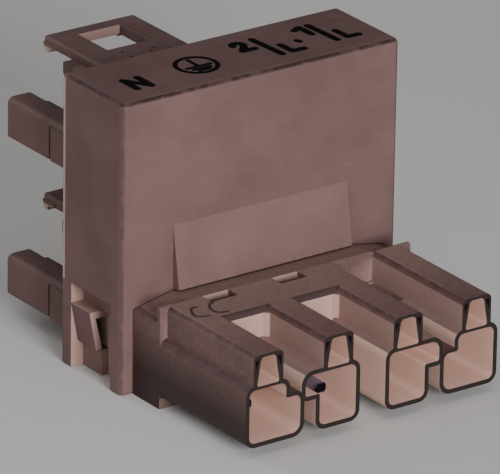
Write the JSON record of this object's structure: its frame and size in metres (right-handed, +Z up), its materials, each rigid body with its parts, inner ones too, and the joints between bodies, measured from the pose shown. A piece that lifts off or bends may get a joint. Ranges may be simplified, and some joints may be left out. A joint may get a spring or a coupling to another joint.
{
  "type": "power splitter connector",
  "caption": "Splitter connector for installation wiring: a keyed plug joined through a tall cover to stacked keyed sockets with latch plates.",
  "frame": {"origin": "middle of the part's box, at its base", "axes": "+X across the poles from the neutral to the first line, +Y from the plug to the sockets, +Z up"},
  "size_m": [0.04, 0.0518, 0.0369],
  "materials": {
    "housing": "matte, fine moulded grain",
    "strip": "rolled sheet, satin",
    "pin": "tin plated, satin",
    "clip": "tin plated spring sheet, satin"
  },
  "bodies": {
    "root": {"cover": "housing", "plug_housing": "housing", "upper_socket_housing": "housing", "lower_socket_housing": "housing", "neutral_busbar": "strip", "earth_busbar": "strip", "line2_busbar": "strip", "line1_busbar": "strip", "neutral_pin": "pin", "earth_pin": "pin", "line2_pin": "pin", "line1_pin": "pin", "neutral_lower_clip": "clip", "neutral_upper_clip": "clip", "earth_lower_clip": "clip", "earth_upper_clip": "clip", "line2_lower_clip": "clip", "line2_upper_clip": "clip", "line1_lower_clip": "clip", "line1_upper_clip": "clip"}
  },
  "joints": []
}
